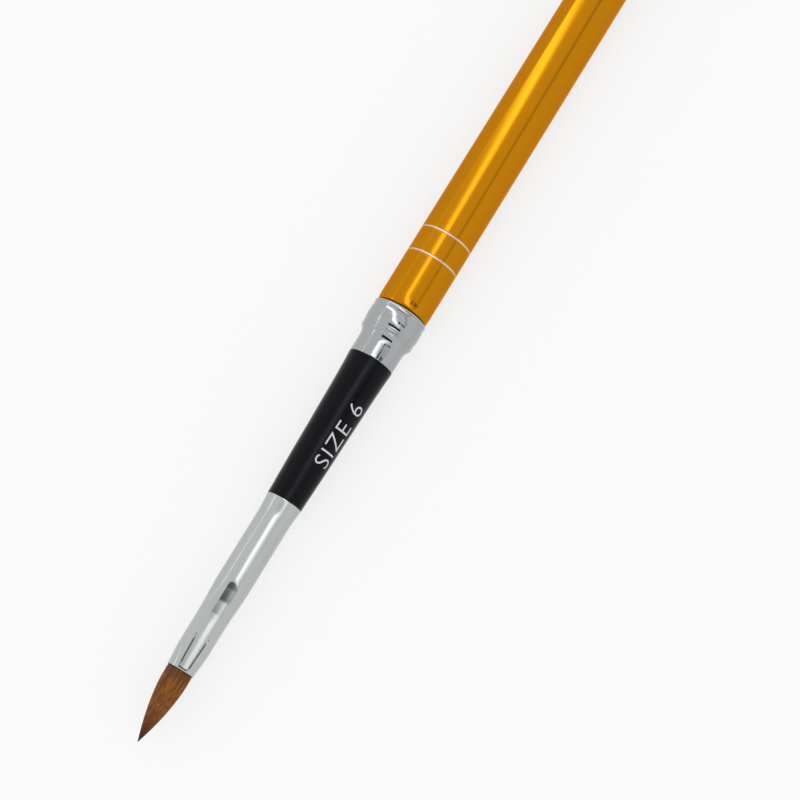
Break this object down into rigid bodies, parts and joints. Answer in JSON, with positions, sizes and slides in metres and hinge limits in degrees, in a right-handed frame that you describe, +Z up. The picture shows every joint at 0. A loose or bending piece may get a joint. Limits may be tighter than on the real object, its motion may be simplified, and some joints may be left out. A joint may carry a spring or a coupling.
{
  "type": "acrylic nail brush",
  "caption": "Slender nail brush with a pointed hair tuft in a crimped ferrule, a short tapered barrel, and a beaded collar that pushes into a round tube handle and cap.",
  "frame": {"origin": "under the middle of the brush's length, on the surface that it lies on", "axes": "+X along the brush from the hair's point to the closed end of the handle, +Z up, +Y to the left seen from the point"},
  "size_m": [0.1703, 0.0082, 0.0083],
  "materials": {
    "gold_anodised": "bright gold anodised, polished",
    "chrome_plate": "bright chrome plated",
    "black_lacquer": "gloss black",
    "nickel_plate": "satin nickel plated",
    "sable_hair": "fine brown hair, darker at the point",
    "thread": "waxed thread",
    "resin": "set amber resin"
  },
  "bodies": {
    "handle": {"handle_tube": "gold_anodised", "end_plug": "gold_anodised"},
    "brush_head": {"collar": "chrome_plate", "barrel": "black_lacquer", "ferrule": "nickel_plate", "hair_tuft": "sable_hair", "binding_thread": "thread", "root_adhesive": "resin"}
  },
  "joints": [
    {"name": "head_pull", "type": "slide", "parent": "handle", "child": "brush_head", "axis": [-1, 0, 0], "range_m": [0, 0.02]}
  ]
}
